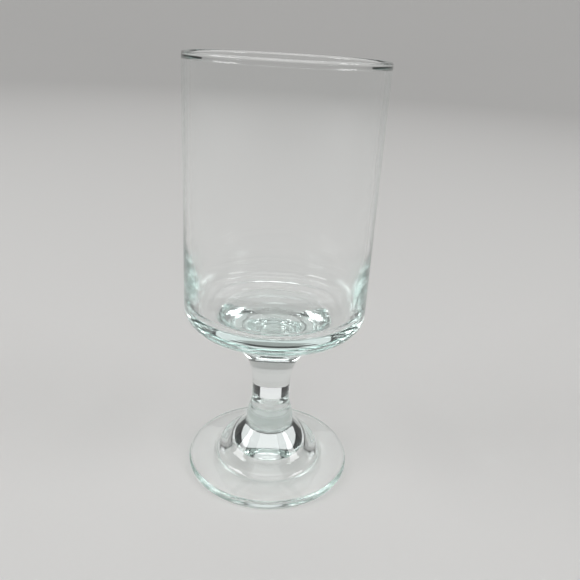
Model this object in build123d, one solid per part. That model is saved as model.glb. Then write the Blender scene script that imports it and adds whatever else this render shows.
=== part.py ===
from build123d import *

import os
from math import atan2, tan

# All sizes are in millimetres. The goblet stands on z = 0, with its axis on Z.

# Foot: a flat flange round a dome, with a neck up to the seam on the stem.
flange_width = 12.2          # brim outside the dome
flange_edge = 3.7            # thickness of the brim at its rim
flange_root = 5.0            # height of the brim where the dome rises from it
root_fillet = 3.5            # hollow round between brim and dome
dome_diameter = 43.6         # across the dome at the brim
dome_side_lean = 1.7         # how far the dome's side leans in up to the shoulder
dome_side_height = 4.8       # brim to shoulder
shoulder_round = 7.0         # round between the dome's side and its cap
dome_cap_height = 9.4        # shoulder to collar
collar_fillet = 2.2          # hollow round between cap and collar
collar_height = 4.2          # upright collar above the cap
collar_round = 10.0          # gentle round at the top of the collar
neck_flare = 1.95            # how far the neck widens from the seam to the collar
neck_flare_height = 6.6      # height over which it widens
neck_flare_round = 16.0      # gentle round where it starts to widen
neck_straight_height = 4.0   # straight neck just under the seam
hollow_inset = 3.3           # mouth of the hollow underneath, inside the dome's side
hollow_lean = 6.0            # how far the hollow's wall leans in up to its top
hollow_depth = 5.6           # height of that wall
hollow_crown = 0.4           # how far the hollow's top rises further to the axis
hollow_lip_round = 2.0       # round at the mouth of the hollow
hollow_top_round = 3.5       # round between its wall and its top

# Stem: a solid pillar that flares like a trumpet up to the bowl.
seam_diameter = 15.6         # across the seam between stem and foot
stem_height = 29.6           # seam to the joint under the bowl
stem_straight = 9.8          # how far the pillar stays slender above the seam

# Bowl: a straight-sided cup with a thick dished floor and a rounded heel.
bowl_diameter = 71.0
bowl_height = 101.4          # joint under the bowl to the top of the lip
heel_round = 7.5             # round between the side and the underside
underside_width = 6.5        # hollow curve from the heel in to the joint
underside_rise = 2.6         # height of the heel above the joint
lip_thickness = 2.9          # fire-polished lip, a slight bead inside the wall
lip_outer_round = 0.8        # round at the lip's outer edge
lip_inner_round = 1.0        # round at its inner edge
lip_face = 0.2               # upright inner face of the bead, under that round
lip_slope = 1.0              # height over which the bead runs out into the wall
lip_bead_round = 0.4         # round at the foot of the bead's face
lip_hollow_round = 1.5       # hollow round between bead and wall
wall_thickness = 2.5         # side below the lip
base_wall_thickness = 4.5    # side where it meets the floor
base_lean = 0.6              # how far the side's inner face leans out just above the floor
base_lean_height = 8.0       # height of that leaning stretch
base_taper_height = 19.5     # height over which the side goes on thinning above it
floor_thickness = 6.5        # floor above the joint, on the axis
floor_dish = 3.4             # how far the floor rises from the axis to its edge
floor_corner_round = 4.5     # round between floor and side

# Levels and radii that the fused pieces share.
seam_radius = seam_diameter / 2
seam_level = (flange_root + dome_side_height + dome_cap_height
              + collar_height + neck_flare_height + neck_straight_height)
joint_level = seam_level + stem_height
bowl_radius = bowl_diameter / 2
joint_radius = bowl_radius - heel_round - underside_width
joint_slope = 2 * atan2(underside_rise, underside_width)


def turned(*edges):
    """Close an outline of (radius, height) edges and turn it about the goblet's axis."""
    face = make_face(Curve() + list(edges))
    return revolve(Plane.XZ * face, Axis.Z)


def dish(radius, edge_level, axis_level):
    """Arc from a dish's edge to the axis, where it lies level."""
    return TangentArc((0, axis_level), (radius, edge_level), tangent=(1, 0))


def make_foot():
    dome_radius = dome_diameter / 2
    foot_radius = dome_radius + flange_width
    shoulder_radius = dome_radius - dome_side_lean
    shoulder_level = flange_root + dome_side_height
    collar_radius = seam_radius + neck_flare
    cap_level = shoulder_level + dome_cap_height
    collar_level = cap_level + collar_height
    flare_level = collar_level + neck_flare_height
    edge_round = 0.46 * flange_edge   # the brim's rim is all but fully rounded
    hollow_radius = dome_radius - hollow_inset
    hollow_top_radius = hollow_radius - hollow_lean
    hollow_top = hollow_depth + hollow_crown
    skin = FilletPolyline(
        (seam_radius, seam_level),
        (seam_radius, flare_level),
        (collar_radius, collar_level),
        (collar_radius, cap_level),
        (shoulder_radius, shoulder_level),
        (dome_radius, flange_root),
        (foot_radius, flange_edge),
        (foot_radius, 0),
        (hollow_radius, 0),
        (hollow_top_radius, hollow_depth),
        radius=[neck_flare_round, collar_round, collar_fillet, shoulder_round, root_fillet,
                edge_round, edge_round, hollow_lip_round],
    )
    outline = make_face(Curve() + [
        *skin.edges(),
        dish(hollow_top_radius, hollow_depth, hollow_top),
        Line((0, hollow_top), (0, seam_level)),
        Line((0, seam_level), (seam_radius, seam_level)),
    ])
    corner = outline.vertices().sort_by_distance((hollow_top_radius, hollow_depth))[0]
    return revolve(Plane.XZ * fillet(corner, hollow_top_round), Axis.Z)


def make_stem():
    flare_level = joint_level - (joint_radius - seam_radius) * tan(joint_slope)
    side = Bezier(
        (seam_radius, seam_level),
        (seam_radius, seam_level + stem_straight),
        (seam_radius, flare_level),
        (joint_radius, joint_level),
    )
    return turned(
        side,
        Line((joint_radius, joint_level), (0, joint_level)),
        Line((0, joint_level), (0, seam_level)),
        Line((0, seam_level), (seam_radius, seam_level)),
    )


def make_bowl():
    heel_level = joint_level + underside_rise
    heel_radius = bowl_radius - heel_round
    side_level = heel_level + heel_round
    rim_level = joint_level + bowl_height
    lip_radius = bowl_radius - lip_thickness
    bead_level = rim_level - lip_inner_round - lip_face
    neck_level = bead_level - lip_slope
    wall_radius = bowl_radius - wall_thickness
    floor_radius = bowl_radius - base_wall_thickness
    lean_radius = floor_radius + base_lean
    floor_level = joint_level + floor_thickness
    corner_level = floor_level + floor_dish
    lean_level = corner_level + base_lean_height
    taper_level = lean_level + base_taper_height
    taper_handle = 0.36 * base_taper_height
    side = FilletPolyline(
        (bowl_radius, side_level),
        (bowl_radius, rim_level),
        (lip_radius, rim_level),
        (lip_radius, bead_level),
        (wall_radius, neck_level),
        (wall_radius, taper_level),
        radius=[lip_outer_round, lip_inner_round, lip_bead_round, lip_hollow_round],
    )
    outline = make_face(Curve() + [
        Line((0, joint_level), (joint_radius, joint_level)),
        TangentArc((heel_radius, heel_level), (joint_radius, joint_level), tangent=(-1, 0)),
        TangentArc((heel_radius, heel_level), (bowl_radius, side_level), tangent=(1, 0)),
        *side.edges(),
        Bezier(
            (wall_radius, taper_level),
            (wall_radius, taper_level - taper_handle),
            (lean_radius + taper_handle * base_lean / base_lean_height, lean_level + taper_handle),
            (lean_radius, lean_level),
        ),
        Line((lean_radius, lean_level), (floor_radius, corner_level)),
        dish(floor_radius, corner_level, floor_level),
        Line((0, floor_level), (0, joint_level)),
    ])
    corner = outline.vertices().sort_by_distance((floor_radius, corner_level))[0]
    return revolve(Plane.XZ * fillet(corner, floor_corner_round), Axis.Z)


os.makedirs("parts", exist_ok=True)
export_step(make_foot(), "parts/foot.step")
export_step(make_stem(), "parts/stem.step")
export_step(make_bowl(), "parts/bowl.step")
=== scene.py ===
from math import asin, atan2, cos, degrees, hypot, pi, radians, sin, tan

import bpy
from mathutils import Matrix, Vector


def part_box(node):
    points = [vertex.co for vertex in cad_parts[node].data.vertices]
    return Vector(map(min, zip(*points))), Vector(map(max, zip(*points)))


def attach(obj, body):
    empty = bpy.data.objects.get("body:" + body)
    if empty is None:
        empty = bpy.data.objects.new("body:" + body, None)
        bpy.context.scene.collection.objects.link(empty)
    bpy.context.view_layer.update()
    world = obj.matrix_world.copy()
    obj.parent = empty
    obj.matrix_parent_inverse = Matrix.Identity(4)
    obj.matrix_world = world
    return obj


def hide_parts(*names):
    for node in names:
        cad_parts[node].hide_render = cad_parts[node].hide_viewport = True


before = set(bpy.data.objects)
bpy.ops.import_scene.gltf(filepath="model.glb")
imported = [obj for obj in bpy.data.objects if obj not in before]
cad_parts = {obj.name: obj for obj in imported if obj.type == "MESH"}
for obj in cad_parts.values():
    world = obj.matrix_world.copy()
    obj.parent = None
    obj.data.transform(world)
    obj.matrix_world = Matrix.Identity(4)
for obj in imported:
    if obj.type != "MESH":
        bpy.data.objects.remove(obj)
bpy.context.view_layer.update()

# Foot
# A pressed glass foot: a dome on a flat brim, with a collar and a short neck that the stem is fused
# to. A round hollow under the dome leaves a broad flat ring, which the goblet stands on.

mm = 0.001


class Wire:
    """A node socket that does sums: an expression on wires adds Math nodes to its tree."""

    def __init__(self, tree, socket=None):
        self.tree = tree
        self.socket = socket

    def node(self, kind, sockets=None, **settings):
        """Add a node of any kind, set it up, then feed its sockets with values or wires."""
        made = self.tree.nodes.new(kind)
        for name, value in settings.items():
            setattr(made, name, value)
        for name, value in (sockets or {}).items():
            if isinstance(value, Wire):
                self.tree.links.new(value.socket, made.inputs[name])
            else:
                made.inputs[name].default_value = value
        return made

    def out(self, made, name=0):
        return Wire(self.tree, made.outputs[name])

    def sum(self, operation, first, second=0.0):
        return self.out(self.node("ShaderNodeMath", {0: first, 1: second}, operation=operation))

    def __add__(self, other):
        return self.sum("ADD", self, other)

    def __radd__(self, other):
        return self.sum("ADD", other, self)

    def __sub__(self, other):
        return self.sum("SUBTRACT", self, other)

    def __rsub__(self, other):
        return self.sum("SUBTRACT", other, self)

    def __mul__(self, other):
        return self.sum("MULTIPLY", self, other)

    def __rmul__(self, other):
        return self.sum("MULTIPLY", other, self)

    def __truediv__(self, other):
        return self.sum("DIVIDE", self, other)

    def __rtruediv__(self, other):
        return self.sum("DIVIDE", other, self)

    def __mod__(self, other):
        return self.sum("FLOORED_MODULO", self, other)

    def __rmod__(self, other):
        return self.sum("FLOORED_MODULO", other, self)

    def __pow__(self, other):
        return self.sum("POWER", self, other)

    def __rpow__(self, other):
        return self.sum("POWER", other, self)


def dish(radius, edge_level, axis_level, steps=40):
    """Points of a round dish, from its axis, where it lies level, out to its edge."""
    rise = edge_level - axis_level
    ball = (radius ** 2 + rise ** 2) / (2 * rise)
    reach = asin(radius / ball)
    return [
        (ball * sin(reach * step / steps), axis_level + ball * (1 - cos(reach * step / steps)))
        for step in range(steps + 1)
    ]


def rounded(*corners):
    """Points of an outline through (radius, height, round) corners, each of them rounded off."""
    fewest_steps = 6
    step_angle = radians(3)
    points = []
    for index, (r, z, size) in enumerate(corners):
        if size == 0:
            points.append((r, z))
            continue
        here = Vector((r, z))
        back = (Vector(corners[index - 1][:2]) - here).normalized()
        ahead = (Vector(corners[index + 1][:2]) - here).normalized()
        half = back.angle(ahead) / 2
        middle = here + (back + ahead).normalized() * size / sin(half)
        start = here + back * size / tan(half) - middle
        turn = pi - 2 * half
        if start.x * ahead.y - start.y * ahead.x < 0:
            turn = -turn
        steps = max(fewest_steps, int(abs(turn) / step_angle))
        for step in range(steps + 1):
            angle = turn * step / steps
            points.append((
                middle.x + start.x * cos(angle) - start.y * sin(angle),
                middle.y + start.x * sin(angle) + start.y * cos(angle),
            ))
    return points


def lathe_tree():
    """Geometry nodes that turn an outline about the axis, closed at its seam and poles."""
    same_spot = 1e-6
    sharp_edge = radians(30)
    tree = bpy.data.node_groups.new("turned_glass", "GeometryNodeTree")
    tree.interface.new_socket("Outline", in_out="INPUT", socket_type="NodeSocketGeometry")
    for name, kind in (
        ("Outline Points", "NodeSocketInt"),
        ("Segments", "NodeSocketInt"),
        ("Ripple Depth", "NodeSocketFloat"),
        ("Ripple Length", "NodeSocketFloat"),
        ("Glass", "NodeSocketMaterial"),
    ):
        tree.interface.new_socket(name, in_out="INPUT", socket_type=kind)
    tree.interface.new_socket("Piece", in_out="OUTPUT", socket_type="NodeSocketGeometry")
    pen = Wire(tree)
    given = pen.node("NodeGroupInput")
    points = pen.out(given, "Outline Points")
    segments = pen.out(given, "Segments")
    # A grid whose columns are copies of the outline, one for each step round the axis.
    grid = pen.node("GeometryNodeMeshGrid", {"Vertices X": segments + 1, "Vertices Y": points})
    index = pen.out(pen.node("GeometryNodeInputIndex"))
    place = index % points
    turn = 2 * pi * ((index - place) / points) / segments
    spot = pen.node("GeometryNodeSampleIndex", {
        "Geometry": pen.out(given, "Outline"),
        "Index": place,
        "Value": pen.out(pen.node("GeometryNodeInputPosition")),
    }, data_type="FLOAT_VECTOR")
    parts = pen.node("ShaderNodeSeparateXYZ", {0: pen.out(spot)})
    radius = pen.out(parts, "X")
    turned = pen.node("ShaderNodeCombineXYZ", {
        "X": radius * pen.sum("COSINE", turn),
        "Y": radius * pen.sum("SINE", turn),
        "Z": pen.out(parts, "Z"),
    })
    shaped = pen.node("GeometryNodeSetPosition", {
        "Geometry": pen.out(grid, "Mesh"),
        "Position": pen.out(turned),
    })
    closed = pen.node("GeometryNodeMergeByDistance", {
        "Geometry": pen.out(shaped),
        "Distance": same_spot,
    })
    # Hot-worked glass is never quite even: a slow ripple, sunk into the surface.
    noise = pen.node("ShaderNodeTexNoise", {
        "Scale": 1.0 / pen.out(given, "Ripple Length"),
        "Detail": 1.0,
        "Roughness": 0.4,
    })
    sink = pen.node("ShaderNodeVectorMath", {
        0: pen.out(pen.node("GeometryNodeInputNormal")),
        "Scale": -1.0 * pen.out(given, "Ripple Depth") * pen.out(noise),
    }, operation="SCALE")
    rippled = pen.node("GeometryNodeSetPosition", {
        "Geometry": pen.out(closed),
        "Offset": pen.out(sink),
    })
    bend = pen.out(pen.node("GeometryNodeInputMeshEdgeAngle"), "Unsigned Angle")
    gentle = pen.node("FunctionNodeCompare", {"A": bend, "B": sharp_edge}, operation="LESS_THAN")
    smooth = pen.node("GeometryNodeSetShadeSmooth", {
        "Geometry": pen.out(rippled),
        "Shade Smooth": pen.out(gentle),
    }, domain="EDGE")
    real = pen.node("GeometryNodeRealizeInstances", {"Geometry": pen.out(smooth)})
    dressed = pen.node("GeometryNodeSetMaterial", {
        "Geometry": pen.out(real),
        "Material": pen.out(given, "Glass"),
    })
    pen.node("NodeGroupOutput", {"Piece": pen.out(dressed)})
    return tree


turned_glass = lathe_tree()


def turn_piece(name, outline, glass, ripple_depth, ripple_length, segments=240):
    """Turn an outline in millimetres into a named glass piece at the origin."""
    longest_step = 1.2
    fine = outline[:1]
    for first, last in zip(outline, outline[1:]):
        cuts = max(1, round(hypot(last[0] - first[0], last[1] - first[1]) / longest_step))
        for cut in range(1, cuts + 1):
            fine.append(tuple(a + (b - a) * cut / cuts for a, b in zip(first, last)))
    sketch = bpy.data.meshes.new(name + "_outline")
    sketch.from_pydata([(r * mm, 0, z * mm) for r, z in fine], [], [])
    piece = bpy.data.objects.new(name, sketch)
    bpy.context.scene.collection.objects.link(piece)
    lathe = piece.modifiers.new("lathe", "NODES")
    lathe.node_group = turned_glass
    wanted = {
        "Outline Points": len(fine),
        "Segments": segments,
        "Glass": glass,
        "Ripple Depth": ripple_depth * mm,
        "Ripple Length": ripple_length * mm,
    }
    for socket in turned_glass.interface.items_tree:
        if socket.name in wanted:
            lathe[socket.identifier] = wanted[socket.name]
    graph = bpy.context.evaluated_depsgraph_get()
    built = bpy.data.meshes.new_from_object(piece.evaluated_get(graph))
    piece.modifiers.clear()
    piece.data = built
    built.name = name
    return piece


def clear_glass(name, grain, wave):
    """Clear soda-lime glass: a polished, faintly uneven skin, and grey-green where it is thick."""
    haze_peak = 0.06
    haze_falloff = 3.0
    glass_index = 1.52
    thick_tint = (0.45, 0.78, 0.71, 1.0)
    tint_density = 6.0
    glass = bpy.data.materials.new(name)
    glass.use_nodes = True
    pen = Wire(glass.node_tree)
    shader = glass.node_tree.nodes["Principled BSDF"]
    output = glass.node_tree.nodes["Material Output"]
    place = pen.node("ShaderNodeMapping", {
        "Vector": pen.out(pen.node("ShaderNodeTexCoord"), "Object"),
        "Scale": grain,
    })
    haze = pen.out(pen.node("ShaderNodeTexNoise", {
        "Vector": pen.out(place),
        "Scale": 1.0,
        "Detail": 4.0,
        "Roughness": 0.6,
    }))
    swell = pen.out(pen.node("ShaderNodeTexNoise", {
        "Vector": pen.out(place),
        "Scale": 0.35,
        "Detail": 1.0,
    }))
    skin = pen.node("ShaderNodeBump", {"Height": swell, "Distance": wave * mm, "Strength": 1.0})
    shader.inputs["Base Color"].default_value = (1.0, 1.0, 1.0, 1.0)
    shader.inputs["IOR"].default_value = glass_index
    shader.inputs["Transmission Weight"].default_value = 1.0
    roughness = haze_peak * haze ** haze_falloff
    glass.node_tree.links.new(roughness.socket, shader.inputs["Roughness"])
    glass.node_tree.links.new(skin.outputs["Normal"], shader.inputs["Normal"])
    tint = pen.node("ShaderNodeVolumeAbsorption", {"Color": thick_tint, "Density": tint_density})
    glass.node_tree.links.new(tint.outputs["Volume"], output.inputs["Volume"])
    return glass


fused = 0.01          # how far a fused face is drawn past its joint, before it is rippled, in mm
round_points = 6      # points at a dish's edge that give way to the round of its corner

foot_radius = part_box("foot")[1].x / mm
seam_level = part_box("foot")[1].z / mm
seam_radius = 7.8
flange_width = 12.2
flange_edge = 3.7
flange_root = 5.0
edge_round = 0.46 * flange_edge
root_fillet = 3.5
dome_radius = foot_radius - flange_width
dome_side_lean = 1.7
dome_side_height = 4.8
dome_cap_height = 9.4
shoulder_radius = dome_radius - dome_side_lean
shoulder_level = flange_root + dome_side_height
shoulder_round = 7.0
neck_flare = 1.95
neck_flare_height = 6.6
neck_flare_round = 16.0
collar_height = 4.2
collar_fillet = 2.2
collar_round = 10.0
collar_radius = seam_radius + neck_flare
cap_level = shoulder_level + dome_cap_height
collar_level = cap_level + collar_height
flare_level = collar_level + neck_flare_height
hollow_inset = 3.3
hollow_lean = 6.0
hollow_lip_round = 2.0
hollow_radius = dome_radius - hollow_inset
crown_radius = hollow_radius - hollow_lean
crown_level = 5.6
crown_rise = 0.4
crown_round = 3.5
crown = dish(crown_radius, crown_level, crown_level + crown_rise)
foot_outline = crown[:-round_points] + rounded(
    (*crown[-round_points], 0.0),
    (crown_radius, crown_level, crown_round),
    (hollow_radius, 0.0, hollow_lip_round),
    (foot_radius, 0.0, edge_round),
    (foot_radius, flange_edge, edge_round),
    (dome_radius, flange_root, root_fillet),
    (shoulder_radius, shoulder_level, shoulder_round),
    (collar_radius, cap_level, collar_fillet),
    (collar_radius, collar_level, collar_round),
    (seam_radius, flare_level, neck_flare_round),
    (seam_radius, seam_level, 0.0),
    (seam_radius - fused, seam_level + fused, 0.0),
    (0.0, seam_level + fused, 0.0),
)
foot_glass = clear_glass("foot_glass", grain=(90.0, 90.0, 90.0), wave=0.03)
foot = turn_piece("foot_glass", foot_outline, foot_glass, ripple_depth=0.04, ripple_length=16.0)
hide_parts("foot")
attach(foot, "root")

# Stem
# A short solid pillar of glass, drawn out while soft. Its lower end is fused to the foot at the
# seam, and it flares like a trumpet up to the underside of the bowl, where it is fused again.


def bezier(first, first_pull, last_pull, last, steps=60):
    """Points along a cubic curve."""
    points = []
    for step in range(steps + 1):
        t = step / steps
        shares = (1 - t) ** 3, 3 * t * (1 - t) ** 2, 3 * t * t * (1 - t), t ** 3
        spot = Vector((0.0, 0.0))
        for share, point in zip(shares, (first, first_pull, last_pull, last)):
            spot += share * Vector(point)
        points.append(tuple(spot))
    return points


joint_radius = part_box("stem")[1].x / mm
joint_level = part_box("stem")[1].z / mm
underside_width = 6.5
underside_rise = 2.6
joint_slope = 2 * atan2(underside_rise, underside_width)
stem_straight = 9.8
stem_flare = joint_level - (joint_radius - seam_radius) * tan(joint_slope)
stem_outline = [
    (0.0, seam_level - fused),
    (seam_radius - fused, seam_level - fused),
    *bezier(
        (seam_radius, seam_level),
        (seam_radius, seam_level + stem_straight),
        (seam_radius, stem_flare),
        (joint_radius, joint_level),
    ),
    (joint_radius - fused, joint_level + fused),
    (0.0, joint_level + fused),
]
stem_glass = clear_glass("stem_glass", grain=(120.0, 120.0, 40.0), wave=0.03)
stem = turn_piece("stem_glass", stem_outline, stem_glass, ripple_depth=0.03, ripple_length=12.0)
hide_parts("stem")
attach(stem, "root")

# Bowl
# A pressed and blown cup with straight sides. Its lip is fire-polished, which leaves a slight bead
# inside. Its wall thickens towards a dished floor, and the rounded heel turns in to the joint where
# the stem is fused on.


def arc(middle, size, start, end, steps):
    """Points of an arc about a middle, from one angle to another, in degrees."""
    points = []
    for step in range(steps + 1):
        angle = radians(start + (end - start) * step / steps)
        points.append((middle[0] + size * cos(angle), middle[1] + size * sin(angle)))
    return points


bowl_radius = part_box("bowl")[1].x / mm
rim_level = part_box("bowl")[1].z / mm
heel_round = 7.5
heel_radius = bowl_radius - heel_round
heel_level = joint_level + underside_rise
under_round = hypot(underside_width, underside_rise) / (2 * sin(joint_slope / 2))
lip_thickness = 2.9
lip_outer_round = 0.8
lip_inner_round = 1.0
lip_face = 0.2
lip_slope = 1.0
lip_bead_round = 0.4
lip_hollow_round = 1.5
lip_radius = bowl_radius - lip_thickness
bead_level = rim_level - lip_inner_round - lip_face
neck_level = bead_level - lip_slope
wall_thickness = 2.5
wall_radius = bowl_radius - wall_thickness
base_wall_thickness = 4.5
base_lean = 0.6
base_lean_height = 8.0
base_taper_height = 19.5
floor_thickness = 6.5
floor_dish = 3.4
floor_corner_round = 4.5
floor_radius = bowl_radius - base_wall_thickness
floor_level = joint_level + floor_thickness
corner_level = floor_level + floor_dish
lean_radius = floor_radius + base_lean
lean_level = corner_level + base_lean_height
taper_level = lean_level + base_taper_height
taper_pull = 0.36 * base_taper_height
lean_pull_radius = lean_radius + taper_pull * base_lean / base_lean_height
floor = dish(floor_radius, corner_level, floor_level)
bowl_outline = [
    (0.0, joint_level - fused),
    (joint_radius - fused, joint_level - fused),
    *arc((heel_radius, heel_level - under_round), under_round, 90 + degrees(joint_slope), 90, 16),
    *arc((heel_radius, heel_level + heel_round), heel_round, -90, 0, 30)[1:],
    *rounded(
        (bowl_radius, heel_level + heel_round, 0.0),
        (bowl_radius, rim_level, lip_outer_round),
        (lip_radius, rim_level, lip_inner_round),
        (lip_radius, bead_level, lip_bead_round),
        (wall_radius, neck_level, lip_hollow_round),
        (wall_radius, taper_level, 0.0),
    )[1:-1],
    *bezier(
        (wall_radius, taper_level),
        (wall_radius, taper_level - taper_pull),
        (lean_pull_radius, lean_level + taper_pull),
        (lean_radius, lean_level),
        steps=30,
    ),
    *rounded(
        (lean_radius, lean_level, 0.0),
        (floor_radius, corner_level, floor_corner_round),
        (*floor[-round_points], 0.0),
    )[1:],
    *floor[-round_points - 1::-1],
]
bowl_glass = clear_glass("bowl_glass", grain=(70.0, 70.0, 25.0), wave=0.03)
bowl = turn_piece("bowl_glass", bowl_outline, bowl_glass, ripple_depth=0.03, ripple_length=18.0)
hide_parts("bowl")
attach(bowl, "root")

# Studio
# A round pale paper cove in a dim room, with a window light on each side and broad soft lights
# above the camera and behind the goblet. The camera has the photograph's angle.

cove_radius = 2.4
cove_bend = 0.5
cove_height = 0.95
cove_sides = 96
cove_side = [(cove_radius * step / 8, 0.0) for step in range(1, 6)]
for lean in range(0, 91, 6):
    cove_side.append((
        cove_radius - cove_bend + cove_bend * sin(radians(lean)),
        cove_bend - cove_bend * cos(radians(lean)),
    ))
cove_side.append((cove_radius, cove_height))
cove_spots = [(0.0, 0.0, 0.0)]
for r, z in cove_side:
    for side in range(cove_sides):
        turn = 2 * pi * side / cove_sides
        cove_spots.append((r * cos(turn), r * sin(turn), z))
cove_faces = [(0, 1 + side, 1 + (side + 1) % cove_sides) for side in range(cove_sides)]
for ring in range(len(cove_side) - 1):
    for side in range(cove_sides):
        first = 1 + ring * cove_sides + side
        last = 1 + ring * cove_sides + (side + 1) % cove_sides
        cove_faces.append((first, first + cove_sides, last + cove_sides, last))
cove_mesh = bpy.data.meshes.new("paper_cove")
cove_mesh.from_pydata(cove_spots, [], cove_faces)
cove_mesh.shade_smooth()
cove = bpy.data.objects.new("paper_cove", cove_mesh)
bpy.context.scene.collection.objects.link(cove)

paper_colour = (0.42, 0.417, 0.41, 1.0)
paper_glow_colour = (1.0, 0.99, 0.97, 1.0)
paper_glow = 0.29
paper = bpy.data.materials.new("pale_paper")
paper.use_nodes = True
pen = Wire(paper.node_tree)
fibre = pen.out(pen.node("ShaderNodeTexNoise", {
    "Vector": pen.out(pen.node("ShaderNodeTexCoord"), "Object"),
    "Scale": 400.0,
    "Detail": 3.0,
}))
paper_shader = paper.node_tree.nodes["Principled BSDF"]
paper_shader.inputs["Base Color"].default_value = paper_colour
paper_shader.inputs["Emission Color"].default_value = paper_glow_colour
sight = pen.node("ShaderNodeLightPath")
seen = pen.out(sight, "Is Camera Ray") + pen.out(sight, "Is Glossy Ray")
seen = seen + pen.out(sight, "Is Transmission Ray")
glow = paper_glow * pen.sum("MINIMUM", seen, 1.0)
paper.node_tree.links.new(glow.socket, paper_shader.inputs["Emission Strength"])
paper.node_tree.links.new((0.8 + 0.15 * fibre).socket, paper_shader.inputs["Roughness"])
cove_mesh.materials.append(paper)


def soft_light(name, azimuth, elevation, distance, width, height, power):
    """A soft rectangular lamp facing the goblet; azimuth 0 is the camera's side."""
    lamp = bpy.data.lights.new(name, "AREA")
    lamp.shape = "RECTANGLE"
    lamp.size = width
    lamp.size_y = height
    lamp.energy = power
    holder = bpy.data.objects.new(name, lamp)
    bearing = radians(azimuth)
    rise = radians(elevation)
    aim = Vector((0.0, 0.0, 0.08))
    away = Vector((sin(bearing) * cos(rise), -cos(bearing) * cos(rise), sin(rise)))
    holder.location = aim + away * distance
    holder.rotation_euler = (-away).to_track_quat("-Z", "Y").to_euler()
    bpy.context.scene.collection.objects.link(holder)


soft_light("left_window", -76, 33, distance=1.5, width=0.8, height=0.45, power=8.0)
soft_light("right_window", 74, 35, distance=1.5, width=0.55, height=0.45, power=6.0)
soft_light("overhead", 0, 66, distance=1.5, width=1.4, height=1.0, power=9.0)
soft_light("back_light", 180, 42, distance=1.6, width=1.5, height=0.9, power=3.4)

room_grey = (0.05, 0.05, 0.05, 1.0)
room = bpy.data.worlds.new("dim_room")
bpy.context.scene.world = room
room.use_nodes = True
room.node_tree.nodes["Background"].inputs["Color"].default_value = room_grey

# The camera stands close in front, a little above the lip, and looks down at the goblet.
camera_back = 218.35 * mm
camera_height = 171.0 * mm
pitch = radians(22.72)
yaw = radians(1.45)
roll = radians(3.46)
film_width = 36.0
frame_pixels = 580
focal_pixels = 604.9
ahead = Vector((sin(yaw) * cos(pitch), cos(yaw) * cos(pitch), -sin(pitch)))
level = Vector((cos(yaw), -sin(yaw), 0.0))
upright = level.cross(ahead)
turned = Matrix((
    level * cos(roll) + upright * sin(roll),
    upright * cos(roll) - level * sin(roll),
    -ahead,
)).transposed().to_4x4()
lens = bpy.data.cameras.new("camera")
lens.sensor_width = film_width
lens.lens = focal_pixels / frame_pixels * film_width
lens.clip_start = 0.01
camera = bpy.data.objects.new("camera", lens)
camera.matrix_world = Matrix.Translation((0.0, -camera_back, camera_height)) @ turned
bpy.context.scene.collection.objects.link(camera)
bpy.context.scene.camera = camera
bpy.context.scene.view_settings.view_transform = "Standard"

# Light passes many faces on its way through thick glass, and none of it is to be blurred or lost.
ray_limit = 32
rays = bpy.context.scene.cycles
rays.max_bounces = ray_limit
rays.glossy_bounces = ray_limit
rays.transmission_bounces = ray_limit
rays.blur_glossy = 0.0
